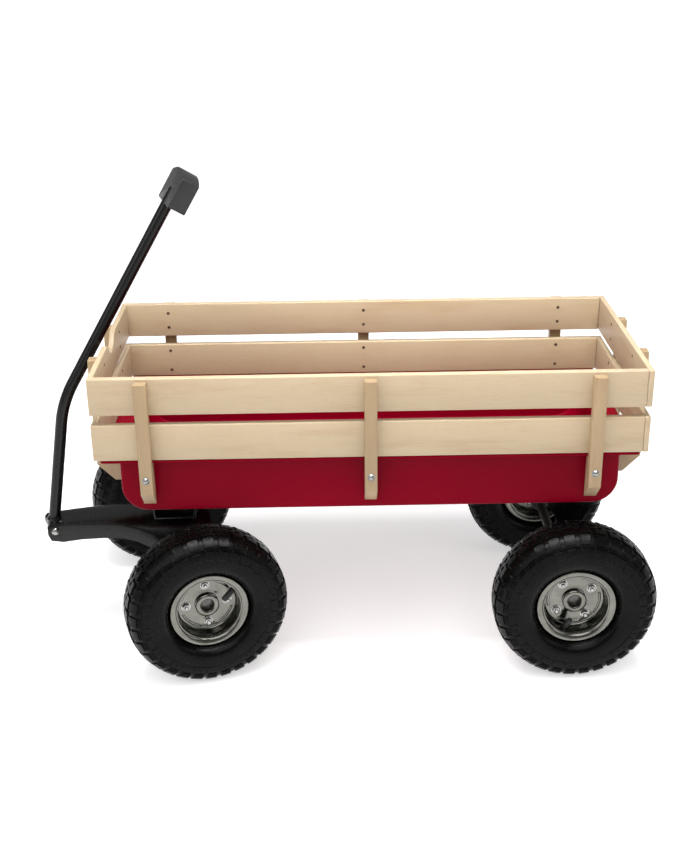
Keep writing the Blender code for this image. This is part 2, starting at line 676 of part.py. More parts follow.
def make_pivot_bolt(steering):
    """The handle's hinge bolt: domed head on the left cheek, nut on the right one."""
    cheek = 0.0270
    head = [(0.0, cheek + 0.0045), (0.0040, cheek + 0.0038)]
    head += [(0.0065, cheek + 0.0020), (0.0068, cheek + GAP)]
    shank = [(PIVOT_RADIUS, cheek + GAP), (PIVOT_RADIUS, -cheek - GAP)]
    nut = [(0.0080, -cheek - GAP), (0.0080, -cheek - 0.0075), (0.0, -cheek - 0.0075)]
    level = PIVOT_HEIGHT - WHEEL_RADIUS
    place_at = (-PIVOT_REACH, 0, level)
    turned("handle_pivot_bolt", head + shank + nut, chrome, 16, steering, place_at, (math.pi / 2, 0, 0))


tray = make_tray()
make_side_slats()
make_end_slats()
make_stakes(tray)
make_rear_bracket()
kingpin_seat = make_bolster()
make_kingpin(kingpin_seat)
make_axle("rear_axle", REAR_LEG_Y, None, (REAR_AXLE_X, 0, WHEEL_RADIUS))

steering_frame = new_frame("steering_frame", (FRONT_AXLE_X, 0, WHEEL_RADIUS), (0, 0, STEER_ANGLE))
make_yoke(steering_frame)
make_turntable(steering_frame)
make_axle("front_axle", YOKE_LEG, steering_frame, (0, 0, 0))
make_pivot_bolt(steering_frame)

handle_frame = new_frame(
    "handle_frame", (-PIVOT_REACH, 0, PIVOT_HEIGHT - WHEEL_RADIUS), parent=steering_frame
)
make_handle(handle_frame)

for corner, outward in (("front_left", -1), ("front_right", 1)):
    place_at = (0, outward * HALF_TRACK, 0)
    make_wheel(corner, new_frame(corner + "_frame", place_at, parent=steering_frame), outward)
for corner, outward in (("rear_left", -1), ("rear_right", 1)):
    place_at = (REAR_AXLE_X, outward * HALF_TRACK, WHEEL_RADIUS)
    make_wheel(corner, new_frame(corner + "_frame", place_at), outward)
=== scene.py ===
import math

import bmesh
import bpy
from mathutils import Matrix, Vector


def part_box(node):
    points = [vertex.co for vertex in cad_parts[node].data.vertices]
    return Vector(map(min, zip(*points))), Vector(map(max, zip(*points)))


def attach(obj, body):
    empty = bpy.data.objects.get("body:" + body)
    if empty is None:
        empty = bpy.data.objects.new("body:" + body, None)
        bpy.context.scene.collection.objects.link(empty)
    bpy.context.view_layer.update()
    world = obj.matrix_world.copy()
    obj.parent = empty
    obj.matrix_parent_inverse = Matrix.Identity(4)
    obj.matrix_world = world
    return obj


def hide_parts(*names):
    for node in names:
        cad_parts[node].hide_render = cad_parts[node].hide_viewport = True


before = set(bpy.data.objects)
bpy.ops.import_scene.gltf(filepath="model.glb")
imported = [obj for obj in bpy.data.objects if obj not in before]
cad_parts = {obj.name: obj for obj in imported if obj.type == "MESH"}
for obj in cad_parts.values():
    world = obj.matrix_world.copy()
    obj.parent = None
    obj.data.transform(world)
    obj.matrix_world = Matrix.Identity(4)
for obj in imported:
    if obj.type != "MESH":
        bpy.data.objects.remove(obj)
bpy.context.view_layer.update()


# Floor, light and camera: a pale, faintly glowing studio floor, one wide soft light from the
# front and above, a panel on each side for the gloss, a strip of light over the tray, and the
# camera a little above the rails.
def only(*pieces):
    """Object mode, with just these pieces selected and the last one active."""
    if bpy.context.mode != "OBJECT":
        bpy.ops.object.mode_set(mode="OBJECT")
    bpy.ops.object.select_all(action="DESELECT")
    for piece in pieces:
        piece.select_set(True)
    if pieces:
        bpy.context.view_layer.objects.active = pieces[-1]


class Shade:
    """One socket of a material's nodes, with arithmetic that adds its Math nodes."""

    def __init__(self, socket):
        self.socket = socket

    def make(self, kind, values, output=0, **settings):
        """Adds a node of that kind: its settings, then its sockets' values or links."""
        tree = self.socket.id_data
        node = tree.nodes.new(kind)
        for key, value in settings.items():
            setattr(node, key, value)
        for key, value in values.items():
            if isinstance(value, Shade):
                tree.links.new(value.socket, node.inputs[key])
            else:
                node.inputs[key].default_value = value
        return Shade(node.outputs[output])

    def maths(self, operation, *others):
        """A Math node on this value and the others."""
        return self.make("ShaderNodeMath", dict(enumerate((self, *others))), operation=operation)

    def __add__(self, other):
        return self.maths("ADD", other)

    def __mul__(self, other):
        return self.maths("MULTIPLY", other)

    __radd__ = __add__
    __rmul__ = __mul__

    def clear_over(self, low, high):
        """0 below low, 1 above high, and even between them."""
        values = {"Value": self, "From Min": low, "From Max": high}
        return self.make("ShaderNodeMapRange", values, clamp=True)

    def noise(self, scale, detail=2.0, roughness=0.5):
        """Even noise from 0 to 1, read at this vector socket."""
        values = {"Vector": self, "Scale": scale, "Detail": detail, "Roughness": roughness}
        return self.make("ShaderNodeTexNoise", values)

    def stretched(self, scale):
        """This vector socket scaled on each axis."""
        return self.make("ShaderNodeMapping", {"Vector": self, "Scale": scale})

    def between(self, first, second):
        """Colours mixed by this value."""
        values = {0: self, 6: (*first, 1) if isinstance(first, tuple) else first}
        values[7] = (*second, 1) if isinstance(second, tuple) else second
        return self.make("ShaderNodeMix", values, output=2, data_type="RGBA")

    def bumped(self, strength, distance):
        """This value as a height, in a Bump node."""
        values = {"Height": self, "Strength": strength, "Distance": distance}
        return self.make("ShaderNodeBump", values, output="Normal")

    def into(self, shader, socket):
        """Links this value to one of a shader's sockets."""
        self.socket.id_data.links.new(self.socket, shader.inputs[socket])


def new_finish(name, constants):
    """A material, its Principled shader with these constants, and the place on the piece."""
    material = bpy.data.materials.new(name)
    material.use_nodes = True
    shader = material.node_tree.nodes["Principled BSDF"]
    for socket, value in constants.items():
        shader.inputs[socket].default_value = value
    place = material.node_tree.nodes.new("ShaderNodeTexCoord").outputs["Object"]
    return material, shader, Shade(place)


FLOOR_SIZE = 300
FLOOR_GLOW = 0.52
ROOM_LIGHT = 0.28
only()
bpy.ops.mesh.primitive_plane_add(size=FLOOR_SIZE, location=(0, 0, 0))
floor = bpy.context.object
floor.name = "studio_floor"
matt = {"Specular IOR Level": 0.0, "Roughness": 1.0}
glow = {"Emission Color": (1, 1, 1, 1), "Emission Strength": FLOOR_GLOW}
paper, shader, place = new_finish("studio_paper", {**matt, **glow})
place.noise(3.0).between((0.83, 0.83, 0.83), (0.85, 0.85, 0.85)).into(shader, "Base Color")
floor.data.materials.append(paper)

scene = bpy.context.scene
scene.view_settings.view_transform = "Standard"
world = bpy.data.worlds.new("studio_air")
world.use_nodes = True
world.node_tree.nodes["Background"].inputs["Color"].default_value = (1, 1, 1, 1)
world.node_tree.nodes["Background"].inputs["Strength"].default_value = ROOM_LIGHT
scene.world = world


def hang_light(name, kind, place_at, aim, energy, size):
    """A soft light aimed at a point: size is a sun's angle or a panel's two sides."""
    lamp = bpy.data.lights.new(name, kind)
    lamp.energy = energy
    if kind == "SUN":
        lamp.angle = size
    else:
        lamp.shape = "RECTANGLE"
        lamp.size, lamp.size_y = size
    light = bpy.data.objects.new(name, lamp)
    scene.collection.objects.link(light)
    light.location = place_at
    light.rotation_euler = (Vector(aim) - Vector(place_at)).to_track_quat("-Z", "Y").to_euler()
    light.visible_camera = False


hang_light("ceiling_diffuser", "SUN", (-0.3, -1.9, 3.0), (0, 0, 0), 1.6, math.radians(50))
hang_light("left_panel", "AREA", (-2.6, -1.6, 1.9), (0, 0, 0.3), 16, (1.4, 1.8))
hang_light("right_panel", "AREA", (2.8, -1.2, 1.8), (0, 0, 0.3), 12, (1.4, 1.8))
hang_light("overhead_strip", "AREA", (0.05, -0.25, 1.45), (0.05, 0.19, 0.42), 27, (1.3, 0.4))

CAMERA_PLACE = (-0.0108, -1.929, 1.1664)
CAMERA_YAW = 0.015
CAMERA_PITCH = 0.404
CAMERA_ROLL = -0.011
FOCAL_LENGTH = 64.774
lens = bpy.data.cameras.new("camera")
lens.sensor_fit = "HORIZONTAL"
lens.sensor_width = 36.0
lens.lens = FOCAL_LENGTH
camera = bpy.data.objects.new("camera", lens)
scene.collection.objects.link(camera)
level = math.cos(CAMERA_PITCH)
ahead = Vector(
    (math.sin(CAMERA_YAW) * level, math.cos(CAMERA_YAW) * level, -math.sin(CAMERA_PITCH))
)
right = Vector((math.cos(CAMERA_YAW), -math.sin(CAMERA_YAW), 0))
up = right.cross(ahead)
rolled_right = math.cos(CAMERA_ROLL) * right + math.sin(CAMERA_ROLL) * up
rolled_up = -math.sin(CAMERA_ROLL) * right + math.cos(CAMERA_ROLL) * up
turn = Matrix((rolled_right, rolled_up, -ahead)).transposed().to_4x4()
camera.matrix_world = Matrix.Translation(CAMERA_PLACE) @ turn
scene.camera = camera


# Tray: one sheet of steel, pressed with large lower corners at its ends and a flange with a
# raised bead and a lip turned down, then sprayed with dark red enamel.
TRAY_MIDDLE = 0.0465
TRAY_HALF_LENGTH = 0.384
TRAY_HALF_WIDTH = 0.1755
TRAY_FLOOR = 0.2816
TRAY_TOP = 0.3725
TRAY_CORNER = 0.040
TRAY_EDGE = 0.005
TRAY_STEEL = 0.0012
SIDE_FLANGE = 0.0108
END_FLANGE = 0.0262
FLANGE_FOLD = 0.0017
BEAD_RISE = 0.0004
# Each step out from the wall is a share of the flange's width and a rise.
FLANGE_STEPS = (
    (0.02, -0.0006), (0.06, -0.0002), (0.12, 0.0), (0.50, 0.0), (0.54, 0.0002),
    (0.58, BEAD_RISE), (0.95, BEAD_RISE), (0.985, 0.0), (1.0, -0.0010), (1.0, -0.0022),
)
NEAR = 0.001
SQUARE_ON = 0.9


def pick(piece, mode, test):
    """Edit mode, with only the vertices, edges or faces selected that pass the test."""
    only(piece)
    bpy.ops.object.mode_set(mode="EDIT")
    bpy.ops.mesh.select_mode(type=mode)
    bpy.ops.mesh.select_all(action="DESELECT")
    shape = bmesh.from_edit_mesh(piece.data)
    parts = {"VERT": shape.verts, "EDGE": shape.edges, "FACE": shape.faces}[mode]
    for part in parts:
        if test(part):
            part.select_set(True)
    shape.select_flush_mode()
    bmesh.update_edit_mesh(piece.data)


def clean(piece, distance=0.00002):
    """Merges doubled vertices and turns every face outwards."""
    only(piece)
    bpy.ops.object.mode_set(mode="EDIT")
    bpy.ops.mesh.select_all(action="SELECT")
    bpy.ops.mesh.remove_doubles(threshold=distance)
    bpy.ops.mesh.normals_make_consistent(inside=False)
    bpy.ops.object.mode_set(mode="OBJECT")


def apply_modifier(piece, kind, **settings):
    """Adds a modifier with these settings and applies it at once."""
    modifier = piece.modifiers.new(kind.lower(), kind)
    for key, value in settings.items():
        setattr(modifier, key, value)
    only(piece)
    bpy.ops.object.modifier_apply(modifier=modifier.name)


def ease_edges(piece, width, segments=2, angle=30):
    """Rounds every edge sharper than the angle."""
    apply_modifier(
        piece, "BEVEL", width=width, segments=segments, limit_method="ANGLE",
        angle_limit=math.radians(angle), harden_normals=False,
    )


def smooth(piece, angle=35):
    """Shades a piece smooth, but for the edges sharper than the angle."""
    only(piece)
    bpy.ops.object.shade_smooth_by_angle(angle=math.radians(angle))


def dress(piece, finish, slot, body, *nodes):
    """Gives a piece its finish and its body, and hides the CAD nodes it stands for. The slot is
    not used.
    """
    piece.data.materials.clear()
    piece.data.materials.append(finish)
    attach(piece, body)
    if nodes:
        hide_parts(*nodes)


def block(name, middle, size):
    """A box of that size at that place, as a start."""
    only()
    bpy.ops.mesh.primitive_cube_add(size=1, location=middle)
    piece = bpy.context.object
    piece.name = piece.data.name = name
    piece.scale = size
    bpy.ops.object.transform_apply(location=True, rotation=True, scale=True)
    return piece


under_flange = TRAY_TOP - TRAY_STEEL
wall_top = under_flange - FLANGE_FOLD
depth = wall_top - TRAY_FLOOR
tray = block(
    "tray_pan",
    (TRAY_MIDDLE, 0, TRAY_FLOOR + depth / 2),
    (2 * TRAY_HALF_LENGTH, 2 * TRAY_HALF_WIDTH, depth),
)
pick(
    tray, "EDGE",
    lambda e: all(v.co.z < TRAY_FLOOR + NEAR for v in e.verts)
    and abs(e.verts[0].co.x - e.verts[1].co.x) < NEAR,
)
bpy.ops.mesh.bevel(offset=TRAY_CORNER, segments=16, affect="EDGES")
pick(
    tray, "EDGE",
    lambda e: abs(e.verts[0].co.y - e.verts[1].co.y) < NEAR
    and not all(v.co.z > wall_top - NEAR for v in e.verts)
    and e.calc_face_angle(0) > 1.0,
)
bpy.ops.mesh.bevel(offset=TRAY_EDGE, segments=5, affect="EDGES")
pick(
    tray, "FACE",
    lambda f: f.normal.z > SQUARE_ON and f.calc_center_median().z > wall_top - NEAR,
)
bpy.ops.mesh.delete(type="ONLY_FACE")
pick(tray, "EDGE", lambda e: e.is_boundary)
grown, edge_height = (TRAY_HALF_LENGTH, TRAY_HALF_WIDTH), wall_top
for share, rise in FLANGE_STEPS:
    bpy.ops.mesh.extrude_region_move()
    size = (TRAY_HALF_LENGTH + share * END_FLANGE, TRAY_HALF_WIDTH + share * SIDE_FLANGE)
    spread = (size[0] / grown[0], size[1] / grown[1], 1)
    bpy.ops.transform.resize(value=spread, center_override=(TRAY_MIDDLE, 0, wall_top))
    lift = under_flange - BEAD_RISE + rise
    bpy.ops.transform.translate(value=(0, 0, lift - edge_height))
    grown, edge_height = size, lift
clean(tray)
# The faces drawn so far are the pan's outside, and the steel's thickness goes to its inside.
bottom = min(tray.data.polygons, key=lambda f: f.center.z)
inwards = -1 if bottom.normal.z < 0 else 1
apply_modifier(tray, "SOLIDIFY", thickness=TRAY_STEEL, offset=inwards, use_even_offset=True)
smooth(tray, 40)
red_enamel, shader, place = new_finish(
    "red_enamel", {"Specular IOR Level": 0.03, "Coat Weight": 0.01, "Coat Roughness": 0.06}
)
tone = place.noise(7.0, 3.0)
tone.between((0.145, 0.0002, 0.0070), (0.195, 0.0004, 0.0100)).into(shader, "Base Color")
(place.noise(160.0, 4.0) * 0.10 + 0.20).into(shader, "Roughness")
orange_peel = place.noise(520.0, 2.0) + place.noise(60.0, 1.0) * 0.6
orange_peel.bumped(0.10, 0.0004).into(shader, "Normal")
dress(tray, red_enamel, "red_paint", "wagon", "tray")


# Rails: eight planed birch slats under clear satin varnish, two to each side. The front
# upper one has a notch where the handle leans back.
RAIL_TOP = 0.505
SLAT_HEIGHT = 0.058
SLAT_GAP = 0.016
SIDE_SLAT = 0.012
END_SLAT = 0.0087
RAIL_HALF_WIDTH = 0.188
RAIL_FRONT = TRAY_MIDDLE - 0.4205
RAIL_REAR = TRAY_MIDDLE + 0.414
SLAT_EASE = 0.0014
GAP = 0.0003


def make_birch(name, along, tone=(1.0, 1.0, 1.0)):
    """Birch with its grain along one axis: 0, 1 or 2 for X, Y or Z. The tone tints it."""

    def toned(*colour):
        return tuple(c * t for c, t in zip(colour, tone))

    material, shader, place = new_finish(
        name, {"Specular IOR Level": 0.35, "Coat Weight": 0.12, "Coat Roughness": 0.30}
    )
    tree = material.node_tree
    board = tree.nodes.new("ShaderNodeAttribute")
    board.attribute_name = "board"
    number = Shade(board.outputs["Fac"])
    shift = place.make(
        "ShaderNodeCombineXYZ", {"X": number * 3.7, "Y": number * 5.3, "Z": number * 2.9}
    )
    moved = place.make("ShaderNodeVectorMath", {0: place, 1: shift}, operation="ADD")
    long, wide = [1.0] * 3, [1.0] * 3
    long[along], wide[along] = 0.045, 0.16
    fibre = moved.stretched(tuple(long)).noise(620.0, 4.0, 0.65)
    pores = moved.stretched(tuple(long)).noise(1500.0, 2.0)
    figure = moved.stretched(tuple(wide)).noise(26.0, 3.0, 0.55)
    bands = (figure * 9.0).maths("SINE") * 0.5 + 0.5
    cloud = moved.noise(5.5, 2.0)
    pale = (cloud * 0.55 + number.maths("FRACT") * 0.45).between(
        toned(0.510, 0.402, 0.272), toned(0.405, 0.312, 0.195)
    )
    grained = ((bands * 0.45 + fibre * 0.55).clear_over(0.30, 0.85) * 0.72).between(
        pale, toned(0.345, 0.225, 0.120)
    )
    lined = (pores.clear_over(0.60, 0.78) * 0.45).between(grained, toned(0.30, 0.185, 0.095))
    lined.into(shader, "Base Color")
    (fibre * 0.16 + 0.40).into(shader, "Roughness")
    (fibre + pores * 0.5).bumped(0.22, 0.0005).into(shader, "Normal")
    return material


birch_by_axis = [make_birch(f"birch_along_{axis}", i) for i, axis in enumerate("xy")]
boards_made = 0


def number_board(piece):
    """Gives each board its own number, so that no two have the same grain."""
    global boards_made
    boards_made += 1
    values = piece.data.attributes.new("board", "FLOAT", "POINT")
    values.data.foreach_set("value", [boards_made * 0.37] * len(piece.data.vertices))


def make_slat(node, middle, size, along):
    """One planed board with eased edges, and its grain along an axis."""
    slat = block(node + "_board", middle, size)
    pick(slat, "EDGE", lambda e: True)
    bpy.ops.mesh.bevel(offset=SLAT_EASE, segments=3, affect="EDGES")
    bpy.ops.object.mode_set(mode="OBJECT")
    smooth(slat)
    number_board(slat)
    dress(slat, birch_by_axis[along], "birch", "wagon", node)


def from_cad(node, name):
    """A piece of its own with the CAD node's shape: merged, with its flat faces made whole."""
    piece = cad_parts[node].copy()
    piece.data = piece.data.copy()
    piece.name = piece.data.name = name
    for key in list(piece.keys()):
        del piece[key]
    piece.parent = None
    scene.collection.objects.link(piece)
    clean(piece, 0.00001)
    pick(piece, "VERT", lambda v: True)
    bpy.ops.mesh.dissolve_limited(angle_limit=math.radians(0.5))
    bpy.ops.object.mode_set(mode="OBJECT")
    return piece


upper = RAIL_TOP - SLAT_HEIGHT / 2
slat_middles = {"upper": upper, "lower": upper - SLAT_HEIGHT - SLAT_GAP}
rail_length = RAIL_REAR - RAIL_FRONT
inner_width = 2 * (RAIL_HALF_WIDTH - SIDE_SLAT - GAP)
for row, height in slat_middles.items():
    for side, sign in (("left", -1), ("right", 1)):
        middle = ((RAIL_REAR + RAIL_FRONT) / 2, sign * (RAIL_HALF_WIDTH - SIDE_SLAT / 2), height)
        make_slat(f"{side}_{row}_slat", middle, (rail_length, SIDE_SLAT, SLAT_HEIGHT), 0)
    middle = (RAIL_REAR + GAP + END_SLAT / 2, 0, height)
    make_slat(f"rear_{row}_slat", middle, (END_SLAT, 2 * RAIL_HALF_WIDTH, SLAT_HEIGHT), 1)
middle = (RAIL_FRONT + END_SLAT / 2, 0, slat_middles["lower"])
make_slat("front_lower_slat", middle, (END_SLAT, inner_width, SLAT_HEIGHT), 1)
notched = from_cad("front_upper_slat", "front_upper_slat_board")
ease_edges(notched, SLAT_EASE, 3)
smooth(notched)
number_board(notched)
dress(notched, birch_by_axis[1], "birch", "wagon", "front_upper_slat")


# Stakes: ten birch posts outside the slats, stepped in below them to the tray's wall and
# cut at 45 degrees at the foot. Each is bolted to the tray.
SIDE_STAKES = ("front", "middle", "rear")
STAKE_EASE = 0.0013
STAKE_TONE = (0.72, 0.65, 0.56)
stakes = [f"{side}_{row}_stake" for side in ("left", "right") for row in SIDE_STAKES]
stakes += [f"{end}_{side}_stake" for end in ("front", "rear") for side in ("left", "right")]
stake_birch = make_birch("stake_birch", 2, STAKE_TONE)
for node in stakes:
    stake = from_cad(node, node + "_post")
    ease_edges(stake, STAKE_EASE, 3, 40)
    smooth(stake)
    number_board(stake)
    dress(stake, stake_birch, "birch", "wagon", node)


# Stake bolts: plated carriage bolts with a domed head and a washer outside each stake,
# and a nut inside the tray.
BOLT_HEIGHT = 0.3455


def turn_on_lathe(name, outline, steps, closed=True):
    """Draws an outline of (radius, height) points, vertex by vertex, and spins it about Z."""
    only()
    bpy.ops.mesh.primitive_plane_add(size=0.01, location=(0, 0, 0))
    piece = bpy.context.object
    piece.name = piece.data.name = name
    bpy.ops.object.mode_set(mode="EDIT")
    bpy.ops.mesh.select_mode(type="VERT")
    bpy.ops.mesh.select_all(action="SELECT")
    bpy.ops.mesh.merge(type="CENTER")
    bpy.ops.transform.translate(value=(outline[0][0], 0, outline[0][1]))
    ends = list(outline[1:]) + ([outline[0]] if closed else [])
    last = outline[0]
    for point in ends:
        step = (point[0] - last[0], 0, point[1] - last[1])
        bpy.ops.mesh.extrude_vertices_move(TRANSFORM_OT_translate={"value": step})
        last = point
    bpy.ops.mesh.select_all(action="SELECT")
    bpy.ops.mesh.remove_doubles(threshold=0.000005)
    bpy.ops.mesh.select_all(action="SELECT")
    bpy.ops.mesh.spin(steps=steps, angle=math.tau, center=(0, 0, 0), axis=(0, 0, 1))
    bpy.ops.object.mode_set(mode="OBJECT")
    clean(piece, 0.000005)
    return piece


def another(piece, name, placement):
    """A copy with its own mesh, put at a place and turn that are then applied."""
    twin = piece.copy()
    twin.data = piece.data.copy()
    twin.name = twin.data.name = name
    scene.collection.objects.link(twin)
    twin.matrix_world = placement
    only(twin)
    bpy.ops.object.transform_apply(location=True, rotation=True, scale=True)
    return twin


def join(pieces, name):
    """Makes several pieces one object."""
    only(*pieces)
    bpy.ops.object.join()
    joined = bpy.context.object
    joined.name = joined.data.name = name
    return joined


def discard(*patterns):
    """Takes a pattern piece out of the scene once its copies are made."""
    for pattern in patterns:
        bpy.data.objects.remove(pattern)


def facing(direction, place_at):
    """The placement that points local +Z along a direction, at a place."""
    turned = Vector(direction).to_track_quat("Z", "Y").to_matrix().to_4x4()
    return Matrix.Translation(place_at) @ turned


DOME = [(0.0, 0.0036), (0.0018, 0.0034), (0.0034, 0.0026), (0.0044, 0.0014), (0.0047, 0.0006)]
WASHER = [(0.0047, 0.0006), (0.0058, 0.0006), (0.0060, 0.0004), (0.0060, 0.0001)]
SHANK = [(0.0029, 0.0001), (0.0029, -0.0050), (0.0, -0.0050)]
OUTWARDS = {"left": (0, -1, 0), "right": (0, 1, 0), "front": (-1, 0, 0), "rear": (1, 0, 0)}
bright_zinc, shader, place = new_finish(
    "bright_plate", {"Specular IOR Level": 0.5, "Metallic": 1.0}
)
tone = place.noise(90.0, 3.0)
tone.between((0.22, 0.22, 0.21), (0.36, 0.36, 0.35)).into(shader, "Base Color")
(place.noise(420.0, 3.0) * 0.16 + 0.12).into(shader, "Roughness")
place.noise(900.0, 2.0).bumped(0.08, 0.0002).into(shader, "Normal")

head = turn_on_lathe("bolt_head", DOME + WASHER + SHANK, 28, False)
smooth(head, 30)
for node in stakes:
    bolt_low, bolt_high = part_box(node + "_bolt")
    centre = (bolt_low + bolt_high) / 2
    low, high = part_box(node)
    side = node.split("_")[0]
    if side in ("left", "right"):
        face_at = (centre.x, low.y if side == "left" else high.y, BOLT_HEIGHT)
    else:
        face_at = (low.x if side == "front" else high.x, centre.y, BOLT_HEIGHT)
    bolt = another(head, node + "_bolt_head", facing(OUTWARDS[side], face_at))
    dress(bolt, bright_zinc, "chrome", "wagon")
    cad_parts[node + "_bolt"].data.materials.clear()
    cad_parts[node + "_bolt"].data.materials.append(bright_zinc)
discard(head)


# Slat screws: two countersunk wood screws through every slat at each stake, driven from
# inside, with small dark heads.
SIDE_STAKE_PITCH = 0.341
END_STAKE_Y = 0.078
SCREW_SPREADS = {"upper": 0.0128, "lower": 0.018}
HEAD = [(0.0, 0.0001), (0.0008, 0.0001), (0.0011, 0.0008), (0.0024, 0.0006), (0.0027, 0.0001)]
screw = turn_on_lathe("screw_head", HEAD + [(0.0027, -0.0002), (0.0, -0.0002)], 12, False)
smooth(screw, 30)
screws = []
for row, height in slat_middles.items():
    for rise in (-SCREW_SPREADS[row], SCREW_SPREADS[row]):
        z = height + rise
        for x in (-SIDE_STAKE_PITCH, 0, SIDE_STAKE_PITCH):
            for sign in (-1, 1):
                place_at = (TRAY_MIDDLE + x, sign * (RAIL_HALF_WIDTH - SIDE_SLAT), z)
                screws.append(another(screw, "screw", facing((0, -sign, 0), place_at)))
        for y in (-END_STAKE_Y, END_STAKE_Y):
            front_at, rear_at = (RAIL_FRONT + END_SLAT, y, z), (RAIL_REAR + GAP, y, z)
            screws.append(another(screw, "screw", facing((1, 0, 0), front_at)))
            screws.append(another(screw, "screw", facing((-1, 0, 0), rear_at)))
screws = join(screws, "slat_screws")
discard(screw)
dull_screw, shader, place = new_finish("dull_screw_steel", {"Metallic": 1.0})
place.noise(700.0).between((0.07, 0.045, 0.028), (0.20, 0.145, 0.10)).into(shader, "Base Color")
(place.noise(900.0) * 0.25 + 0.35).into(shader, "Roughness")
dress(screws, dull_screw, "steel", "wagon")


# Undercarriage: a pressed rear bracket, a front bolster and the yoke under it, all black
# powder coat, with the kingpin, the nylon turntable washer and the two axle rods.
black_coat, shader, place = new_finish(
    "black_powder_coat", {"Specular IOR Level": 0.26, "Coat Weight": 0.05, "Coat Roughness": 0.2}
)
tone = place.noise(11.0, 3.0)
tone.between((0.0018, 0.0018, 0.0018), (0.0048, 0.0046, 0.0044)).into(shader, "Base Color")
(place.noise(240.0, 3.0) * 0.12 + 0.20).into(shader, "Roughness")
grains = place.noise(850.0, 2.0) + place.noise(130.0, 2.0) * 0.5
grains.bumped(0.14, 0.0004).into(shader, "Normal")
axle_steel, shader, place = new_finish("axle_steel", {"Metallic": 1.0})
tone = place.noise(150.0, 3.0)
tone.between((0.06, 0.058, 0.055), (0.14, 0.135, 0.13)).into(shader, "Base Color")
(place.noise(500.0, 3.0) * 0.22 + 0.30).into(shader, "Roughness")
place.noise(1200.0).bumped(0.10, 0.0002).into(shader, "Normal")
nylon, shader, place = new_finish("natural_nylon", {"Specular IOR Level": 0.4})
place.noise(60.0, 2.0).between((0.50, 0.50, 0.46), (0.60, 0.60, 0.55)).into(shader, "Base Color")
(place.noise(400.0) * 0.15 + 0.45).into(shader, "Roughness")

for node, body, finish, slot, ease in (
    ("rear_axle_bracket", "wagon", black_coat, "black_paint", 0.0008),
    ("front_bolster", "wagon", black_coat, "black_paint", 0.0008),
    ("kingpin", "wagon", axle_steel, "steel", 0.0005),
    ("rear_axle", "wagon", axle_steel, "steel", 0.0006),
    ("front_axle", "steering", axle_steel, "steel", 0.0006),
    ("turntable_plate", "steering", nylon, "nylon", 0.0008),
    ("handle_pivot_bolt", "steering", bright_zinc, "chrome", 0.0004),
    ("steering_yoke", "steering", black_coat, "black_paint", 0.0005),
):
    piece = from_cad(node, node + "_finished")
    ease_edges(piece, ease, 2, 45)
    smooth(piece, 40)
    dress(piece, finish, slot, body, node)


# Tyres: moulded black rubber about 258 mm across, with three rows of crown blocks, shoulder
# lugs, ladder bars and ribs on the sidewall. The pattern repeats in pitches of ten parts.
STEER_ANGLE = math.radians(16.3)
HALF_TRACK = 0.205
FRONT_AXLE_X = TRAY_MIDDLE - 0.320
REAR_AXLE_X = TRAY_MIDDLE + 0.320
WHEEL_RADIUS = 0.129
PITCHES = 32
PARTS = 10
STEPS = PITCHES * PARTS
# Half of the carcass, from the middle of the crown to the bead, as (radius, half width).
CARCASS = (
    (0.1262, 0.0000), (0.1262, 0.0048), (0.1262, 0.0070), (0.1260, 0.0130), (0.1252, 0.0185),
    (0.1243, 0.0238), (0.1205, 0.0305), (0.1152, 0.0358), (0.1140, 0.0368), (0.1128, 0.0376),
    (0.1116, 0.0381), (0.1104, 0.0386), (0.1092, 0.0391), (0.1080, 0.0395), (0.1035, 0.0404),
    (0.1005, 0.0409), (0.0965, 0.0412), (0.0950, 0.0413), (0.0860, 0.0415), (0.0760, 0.0401),
    (0.0705, 0.0370), (0.0665, 0.0310), (0.0645, 0.0246), (0.0600, 0.0226), (0.0545, 0.0224),
)
INSIDE = ((0.0545, 0.0140), (0.0760, 0.0320), (0.1060, 0.0350), (0.1205, 0.0))
ON_RING = 0.0002
outer_half = list(CARCASS[1:])
outline = [CARCASS[0]] + outer_half + list(INSIDE)
outline += [(r, -z) for r, z in reversed(outer_half + list(INSIDE[:-1]))]
tyre = turn_on_lathe("tyre_pattern", outline, STEPS)


def part_of(point):
    """Which of the parts of its pitch a point lies in: the far side is half a pitch on."""
    turns = math.atan2(point.y, point.x) / math.tau * STEPS
    return (turns + (0 if point.z > 0 else PARTS / 2)) % PARTS


def on_ring(vertex, radius, width):
    """Whether a vertex lies on one of the two rings of that radius and half width."""
    ring = math.hypot(vertex.co.x, vertex.co.y)
    return abs(ring - radius) < ON_RING and abs(abs(vertex.co.z) - width) < ON_RING


def slide(radius, width, numbers, toward_crown):
    """Moves those numbered vertices of both rings towards the crown's middle."""
    for side in (-1, 1):
        pick(
            tyre, "VERT",
            lambda v: on_ring(v, radius, width)
            and v.co.z * side > 0
            and round(part_of(v.co)) % PARTS in numbers,
        )
        bpy.ops.transform.translate(value=(0, 0, -side * toward_crown))


# A zig-zag edge on the crown's blocks, and arched tops on the shoulder's lugs.
slide(0.1252, 0.0185, (1, 3, 5, 7, 9), 0.0020)
slide(0.1243, 0.0238, (4, 9), 0.0012)
slide(0.1243, 0.0238, (5, 8), 0.0020)
slide(0.1243, 0.0238, (6, 7), 0.0024)


